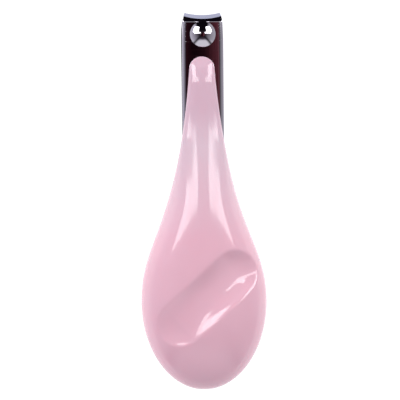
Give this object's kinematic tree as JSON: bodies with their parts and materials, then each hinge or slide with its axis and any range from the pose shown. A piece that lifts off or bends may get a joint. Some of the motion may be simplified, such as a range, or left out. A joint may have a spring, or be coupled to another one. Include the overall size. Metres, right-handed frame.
{
  "type": "lever nail clipper",
  "caption": "Flip-lever nail clipper with domed pivot pin, hollow-edged steel leaves and a teardrop plastic grip with a diagonal finger groove, folded for storage.",
  "frame": {"origin": "centre of the footprint on the resting surface, with the lever cover down", "axes": "+Y towards the cutting nose, +Z out of the grip side, away from the resting surface, +X across"},
  "size_m": [0.032, 0.096, 0.0203],
  "materials": {
    "steel_leaf": "polished plated steel, ground bevel at the nose",
    "steel_pin": "mirror polished dome",
    "steel_lever": "polished stamped steel",
    "pink_plastic": "glossy moulded"
  },
  "bodies": {
    "grip": {"grip_leaf": "steel_leaf", "tail_rivet": "steel_pin", "grip_shell": "pink_plastic", "grip_plate": "pink_plastic"},
    "jaw": {"lever_leaf": "steel_leaf"},
    "pin": {"pivot_pin": "steel_pin"},
    "lever": {"lever": "steel_lever", "lever_cover": "pink_plastic", "thumb_plate": "pink_plastic"}
  },
  "joints": [
    {"name": "jaw_squeeze", "type": "hinge", "parent": "grip", "child": "jaw", "pos_m": [0, -0.006, 0.01375], "axis": [1, 0, 0], "range_deg": [0, 2.4], "stiffness_Nm_per_rad": 14},
    {"name": "pin_swivel", "type": "hinge", "parent": "grip", "child": "pin", "pos_m": [0, 0.0424, 0.0149], "axis": [0, 0, 1], "continuous": true},
    {"name": "lever_flip", "type": "hinge", "parent": "pin", "child": "lever", "pos_m": [0, 0.0439, 0.00561], "axis": [1, 0, 0], "range_deg": [0, 165]}
  ]
}
